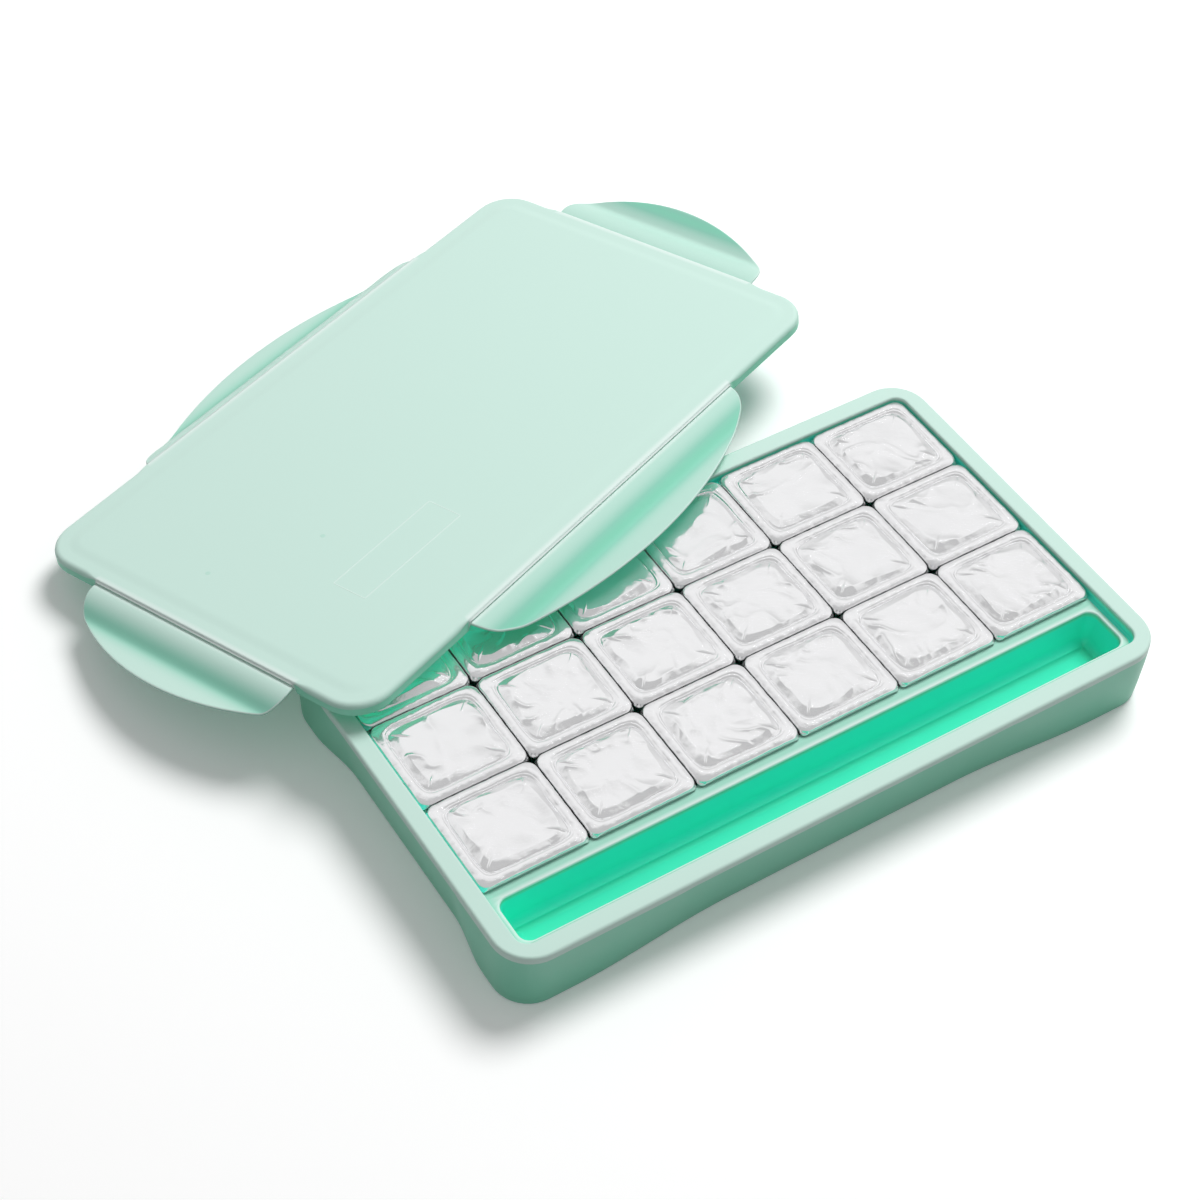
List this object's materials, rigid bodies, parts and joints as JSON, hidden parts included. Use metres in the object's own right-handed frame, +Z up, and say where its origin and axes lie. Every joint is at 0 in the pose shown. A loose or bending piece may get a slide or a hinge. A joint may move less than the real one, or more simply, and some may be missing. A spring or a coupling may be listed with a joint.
{
  "type": "gouache paint set box",
  "caption": "Moulded tray of foil-sealed gouache cups with a brush trough, and its snap-flap lid taken off and leaning behind it.",
  "frame": {"origin": "centre of the tray's underside, on the surface it stands on", "axes": "+Z up, X along the tray's length, +Y from the brush trough towards the back row of cups"},
  "size_m": [0.3707, 0.3933, 0.0458],
  "materials": {
    "moulding": "satin mint-green moulding",
    "cup": "white, slightly glossy",
    "foil": "bright creased foil",
    "paint": "wet paste"
  },
  "bodies": {
    "tray": {"tray": "moulding"},
    "lid": {"lid_panel": "moulding"},
    "flap_front": {"flap_front": "moulding"},
    "flap_back": {"flap_back": "moulding"},
    "flap_left": {"flap_left": "moulding"},
    "flap_right": {"flap_right": "moulding"},
    "cup_front_1": {"cup_front_1": "cup", "foil_front_1": "foil", "paint_front_1": "paint"},
    "cup_front_2": {"cup_front_2": "cup", "foil_front_2": "foil", "paint_front_2": "paint"},
    "cup_front_3": {"cup_front_3": "cup", "foil_front_3": "foil", "paint_front_3": "paint"},
    "cup_front_4": {"cup_front_4": "cup", "foil_front_4": "foil", "paint_front_4": "paint"},
    "cup_front_5": {"cup_front_5": "cup", "foil_front_5": "foil", "paint_front_5": "paint"},
    "cup_front_6": {"cup_front_6": "cup", "foil_front_6": "foil", "paint_front_6": "paint"},
    "cup_middle_1": {"cup_middle_1": "cup", "foil_middle_1": "foil", "paint_middle_1": "paint"},
    "cup_middle_2": {"cup_middle_2": "cup", "foil_middle_2": "foil", "paint_middle_2": "paint"},
    "cup_middle_3": {"cup_middle_3": "cup", "foil_middle_3": "foil", "paint_middle_3": "paint"},
    "cup_middle_4": {"cup_middle_4": "cup", "foil_middle_4": "foil", "paint_middle_4": "paint"},
    "cup_middle_5": {"cup_middle_5": "cup", "foil_middle_5": "foil", "paint_middle_5": "paint"},
    "cup_middle_6": {"cup_middle_6": "cup", "foil_middle_6": "foil", "paint_middle_6": "paint"},
    "cup_back_1": {"cup_back_1": "cup", "foil_back_1": "foil", "paint_back_1": "paint"},
    "cup_back_2": {"cup_back_2": "cup", "foil_back_2": "foil", "paint_back_2": "paint"},
    "cup_back_3": {"cup_back_3": "cup", "foil_back_3": "foil", "paint_back_3": "paint"},
    "cup_back_4": {"cup_back_4": "cup", "foil_back_4": "foil", "paint_back_4": "paint"},
    "cup_back_5": {"cup_back_5": "cup", "foil_back_5": "foil", "paint_back_5": "paint"},
    "cup_back_6": {"cup_back_6": "cup", "foil_back_6": "foil", "paint_back_6": "paint"}
  },
  "joints": [
    {"name": "lid_lift", "type": "slide", "parent": "tray", "child": "lid", "axis": [0, 0, 1], "range_m": [0, 0.12]},
    {"name": "flap_front_hinge", "type": "hinge", "parent": "lid", "child": "flap_front", "pos_m": [-0.00506, 0.08637, 0.04121], "axis": [-0.9375, -0.3477, 0.0157], "range_deg": [-9, 30]},
    {"name": "flap_back_hinge", "type": "hinge", "parent": "lid", "child": "flap_back", "pos_m": [-0.06732, 0.253, 0.01367], "axis": [0.9375, 0.3477, -0.0157], "range_deg": [0, 30]},
    {"name": "flap_left_hinge", "type": "hinge", "parent": "lid", "child": "flap_left", "pos_m": [-0.18244, 0.11544, 0.02989], "axis": [-0.3459, 0.9257, -0.153], "range_deg": [-65, 30]},
    {"name": "flap_right_hinge", "type": "hinge", "parent": "lid", "child": "flap_right", "pos_m": [0.11005, 0.22393, 0.02499], "axis": [0.3459, -0.9257, 0.153], "range_deg": [-55, 8]},
    {"name": "cup_front_1_lift", "type": "slide", "parent": "tray", "child": "cup_front_1", "axis": [0, 0, 1], "range_m": [0, 0.04]},
    {"name": "cup_front_2_lift", "type": "slide", "parent": "tray", "child": "cup_front_2", "axis": [0, 0, 1], "range_m": [0, 0.04]},
    {"name": "cup_front_3_lift", "type": "slide", "parent": "tray", "child": "cup_front_3", "axis": [0, 0, 1], "range_m": [0, 0.04]},
    {"name": "cup_front_4_lift", "type": "slide", "parent": "tray", "child": "cup_front_4", "axis": [0, 0, 1], "range_m": [0, 0.04]},
    {"name": "cup_front_5_lift", "type": "slide", "parent": "tray", "child": "cup_front_5", "axis": [0, 0, 1], "range_m": [0, 0.04]},
    {"name": "cup_front_6_lift", "type": "slide", "parent": "tray", "child": "cup_front_6", "axis": [0, 0, 1], "range_m": [0, 0.04]},
    {"name": "cup_middle_1_lift", "type": "slide", "parent": "tray", "child": "cup_middle_1", "axis": [0, 0, 1], "range_m": [0, 0.008]},
    {"name": "cup_middle_2_lift", "type": "slide", "parent": "tray", "child": "cup_middle_2", "axis": [0, 0, 1], "range_m": [0, 0.04]},
    {"name": "cup_middle_3_lift", "type": "slide", "parent": "tray", "child": "cup_middle_3", "axis": [0, 0, 1], "range_m": [0, 0.04]},
    {"name": "cup_middle_4_lift", "type": "slide", "parent": "tray", "child": "cup_middle_4", "axis": [0, 0, 1], "range_m": [0, 0.04]},
    {"name": "cup_middle_5_lift", "type": "slide", "parent": "tray", "child": "cup_middle_5", "axis": [0, 0, 1], "range_m": [0, 0.04]},
    {"name": "cup_middle_6_lift", "type": "slide", "parent": "tray", "child": "cup_middle_6", "axis": [0, 0, 1], "range_m": [0, 0.04]},
    {"name": "cup_back_1_lift", "type": "slide", "parent": "tray", "child": "cup_back_1", "axis": [0, 0, 1], "range_m": [0, 0.003]},
    {"name": "cup_back_2_lift", "type": "slide", "parent": "tray", "child": "cup_back_2", "axis": [0, 0, 1], "range_m": [0, 0.004]},
    {"name": "cup_back_3_lift", "type": "slide", "parent": "tray", "child": "cup_back_3", "axis": [0, 0, 1], "range_m": [0, 0.0035]},
    {"name": "cup_back_4_lift", "type": "slide", "parent": "tray", "child": "cup_back_4", "axis": [0, 0, 1], "range_m": [0, 0.003]},
    {"name": "cup_back_5_lift", "type": "slide", "parent": "tray", "child": "cup_back_5", "axis": [0, 0, 1], "range_m": [0, 0.005]},
    {"name": "cup_back_6_lift", "type": "slide", "parent": "tray", "child": "cup_back_6", "axis": [0, 0, 1], "range_m": [0, 0.04]}
  ]
}
